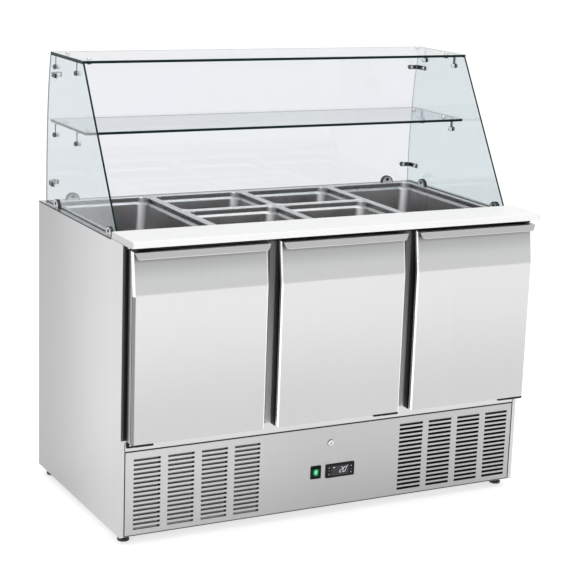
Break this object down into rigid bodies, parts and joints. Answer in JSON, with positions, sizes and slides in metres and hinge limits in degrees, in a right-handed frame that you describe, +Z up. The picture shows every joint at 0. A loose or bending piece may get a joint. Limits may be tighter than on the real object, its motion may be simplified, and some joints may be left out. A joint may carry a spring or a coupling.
{
  "type": "refrigerated saladette counter",
  "caption": "Low refrigerated stainless counter with three hinged doors, recessed food pans under a glass superstructure with two shelves, and a white board along the front.",
  "frame": {"origin": "centre of the overall outline on the floor under the feet", "axes": "+X to the right seen from the door side, +Y to the rear, +Z up; the doors face -Y"},
  "size_m": [1.365, 0.764, 1.363],
  "materials": {
    "panel_steel": "fine satin stainless sheet",
    "door_steel": "fine satin stainless sheet with a vertical grain",
    "liner_steel": "plain stainless sheet",
    "pan_steel": "pressed stainless, soft satin",
    "worktop_steel": "fine satin stainless sheet",
    "galvanised": "galvanised sheet",
    "frame_plastic": "black thermal-break moulding",
    "foam": "rigid insulating foam",
    "gasket_rubber": "magnetic door seal, matt",
    "hinge_black": "black coated steel bracket",
    "bush_plastic": "moulded bearing bush",
    "glass": "clear toughened glass with ground edges",
    "chrome": "bright polished fitting",
    "board": "white food-grade polyethylene",
    "foot": "black moulded levelling foot",
    "compressor_black": "black enamel",
    "fin_aluminium": "bare aluminium fins",
    "fan_plastic": "black moulded blades",
    "copper": "bare copper tube",
    "wire": "plated wire",
    "control_black": "black moulding, glossy window",
    "switch_green": "translucent green rocker",
    "lock_chrome": "bright cylinder lock",
    "gland_plastic": "black cable gland"
  },
  "bodies": {
    "cabinet": {"back_panel": "galvanised", "base_clamps": "chrome", "base_plate": "galvanised", "cabinet_insulation": "foam", "cable_gland": "gland_plastic", "compressor": "compressor_black", "condenser": "fin_aluminium", "condenser_fan_motor": "compressor_black", "corner_straps": "chrome", "door_mullions": "frame_plastic", "evaporator": "fin_aluminium", "feet": "foot", "front_frame": "frame_plastic", "inner_liner": "liner_steel", "left_door_hinges": "hinge_black", "middle_door_hinges": "hinge_black", "middle_glass_shelf": "glass", "pan_support_frame": "worktop_steel", "rear_glass": "glass", "refrigerant_pipes": "copper", "right_door_hinges": "hinge_black", "shelf_clips": "liner_steel", "shelf_supports": "chrome", "side_glass_left": "glass", "side_glass_right": "glass", "side_panel_left": "panel_steel", "side_panel_right": "panel_steel", "sill_rail": "panel_steel", "top_glass_shelf": "glass", "worktop": "worktop_steel"},
    "left_door": {"left_door_skin": "door_steel", "left_door_core": "foam", "left_door_gasket": "gasket_rubber", "left_door_bushes": "bush_plastic"},
    "middle_door": {"middle_door_skin": "door_steel", "middle_door_core": "foam", "middle_door_gasket": "gasket_rubber", "middle_door_bushes": "bush_plastic"},
    "right_door": {"right_door_skin": "door_steel", "right_door_core": "foam", "right_door_gasket": "gasket_rubber", "right_door_bushes": "bush_plastic"},
    "plinth_panel": {"service_panel": "panel_steel", "lock_barrel": "lock_chrome", "switch_housing": "control_black", "thermostat": "control_black"},
    "lock_turn": {"lock_cam": "lock_chrome"},
    "rocker": {"switch_rocker": "switch_green"},
    "condenser_rotor": {"condenser_fan": "fan_plastic"},
    "evaporator_rotor": {"evaporator_fan": "fan_plastic"},
    "board": {"cutting_board": "board"},
    "pan_full_left_body": {"pan_full_left": "pan_steel"},
    "pan_full_right_body": {"pan_full_right": "pan_steel"},
    "pan_half_front_left_body": {"pan_half_front_left": "pan_steel"},
    "pan_half_front_right_body": {"pan_half_front_right": "pan_steel"},
    "pan_half_rear_left_body": {"pan_half_rear_left": "pan_steel"},
    "pan_half_rear_right_body": {"pan_half_rear_right": "pan_steel"},
    "shelf_left": {"wire_shelf_left": "wire"},
    "shelf_middle": {"wire_shelf_middle": "wire"},
    "shelf_right": {"wire_shelf_right": "wire"}
  },
  "joints": [
    {"name": "left_door_hinge", "type": "hinge", "parent": "cabinet", "child": "left_door", "pos_m": [-0.656, -0.344, 0.6], "axis": [0, 0, -1], "range_deg": [0, 105]},
    {"name": "middle_door_hinge", "type": "hinge", "parent": "cabinet", "child": "middle_door", "pos_m": [0.196, -0.344, 0.6], "axis": [0, 0, 1], "range_deg": [0, 105]},
    {"name": "right_door_hinge", "type": "hinge", "parent": "cabinet", "child": "right_door", "pos_m": [0.656, -0.344, 0.6], "axis": [0, 0, 1], "range_deg": [0, 105]},
    {"name": "service_panel_hinge", "type": "hinge", "parent": "cabinet", "child": "plinth_panel", "pos_m": [0, -0.315, 0.029], "axis": [1, 0, 0], "range_deg": [0, 88]},
    {"name": "lock_turn_hinge", "type": "hinge", "parent": "plinth_panel", "child": "lock_turn", "pos_m": [0.0055, -0.308, 0.2295], "axis": [0, -1, 0], "range_deg": [0, 90]},
    {"name": "switch_rocker_hinge", "type": "hinge", "parent": "plinth_panel", "child": "rocker", "pos_m": [-0.0435, -0.314, 0.1415], "axis": [1, 0, 0], "range_deg": [0, 14]},
    {"name": "condenser_fan_spin", "type": "hinge", "parent": "cabinet", "child": "condenser_rotor", "pos_m": [-0.4325, -0.222, 0.15], "axis": [0, 1, 0], "continuous": true},
    {"name": "evaporator_fan_spin", "type": "hinge", "parent": "cabinet", "child": "evaporator_rotor", "pos_m": [0.0075, 0.268, 0.585], "axis": [0, 1, 0], "continuous": true},
    {"name": "cutting_board_lift", "type": "slide", "parent": "cabinet", "child": "board", "axis": [0, 0, 1], "range_m": [0, 0.06]},
    {"name": "pan_full_left_lift", "type": "slide", "parent": "cabinet", "child": "pan_full_left_body", "axis": [0, 0, 1], "range_m": [0, 0.16]},
    {"name": "pan_full_right_lift", "type": "slide", "parent": "cabinet", "child": "pan_full_right_body", "axis": [0, 0, 1], "range_m": [0, 0.16]},
    {"name": "pan_half_front_left_lift", "type": "slide", "parent": "cabinet", "child": "pan_half_front_left_body", "axis": [0, 0, 1], "range_m": [0, 0.16]},
    {"name": "pan_half_front_right_lift", "type": "slide", "parent": "cabinet", "child": "pan_half_front_right_body", "axis": [0, 0, 1], "range_m": [0, 0.16]},
    {"name": "pan_half_rear_left_lift", "type": "slide", "parent": "cabinet", "child": "pan_half_rear_left_body", "axis": [0, 0, 1], "range_m": [0, 0.16]},
    {"name": "pan_half_rear_right_lift", "type": "slide", "parent": "cabinet", "child": "pan_half_rear_right_body", "axis": [0, 0, 1], "range_m": [0, 0.16]},
    {"name": "wire_shelf_left_slide", "type": "slide", "parent": "cabinet", "child": "shelf_left", "axis": [0, -1, 0], "range_m": [0, 0.045]},
    {"name": "wire_shelf_middle_slide", "type": "slide", "parent": "cabinet", "child": "shelf_middle", "axis": [0, -1, 0], "range_m": [0, 0.045]},
    {"name": "wire_shelf_right_slide", "type": "slide", "parent": "cabinet", "child": "shelf_right", "axis": [0, -1, 0], "range_m": [0, 0.045]}
  ]
}
